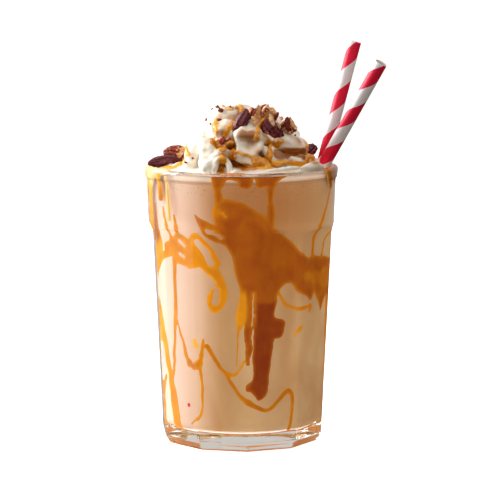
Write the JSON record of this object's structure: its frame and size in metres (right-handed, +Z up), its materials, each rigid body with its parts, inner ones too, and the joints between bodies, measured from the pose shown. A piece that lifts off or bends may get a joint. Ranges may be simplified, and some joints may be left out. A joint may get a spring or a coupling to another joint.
{
  "type": "milkshake",
  "caption": "Milkshake in a panelled drinking glass with a rolled rim, heaped with whipped cream, caramel sauce and pecans, with striped paper straws leaning on the rim.",
  "frame": {"origin": "middle of the glass's flat underside, on the glass's axis", "axes": "+Z up along the glass's axis, -Y towards the side shown at the front, +X towards the straws"},
  "size_m": [0.1127, 0.0904, 0.1899],
  "materials": {
    "glass": "clear, smooth",
    "shake": "opaque creamy drink with brown specks",
    "cream": "soft satin, slightly translucent",
    "straw_paper": "matte paper with a red and white helical stripe",
    "pecan": "ridged brown skin, tan where broken"
  },
  "bodies": {
    "root": {"glass": "glass", "milkshake": "shake", "whipped_cream": "cream", "straw_front": "straw_paper", "straw_back": "straw_paper", "pecan_rim_low": "pecan", "pecan_rim_high": "pecan", "pecan_half": "pecan", "pecan_piece_back": "pecan", "pecan_piece_top": "pecan", "pecan_piece_middle": "pecan", "pecan_shard": "pecan", "pecan_front": "pecan", "pecan_side": "pecan"}
  },
  "joints": []
}
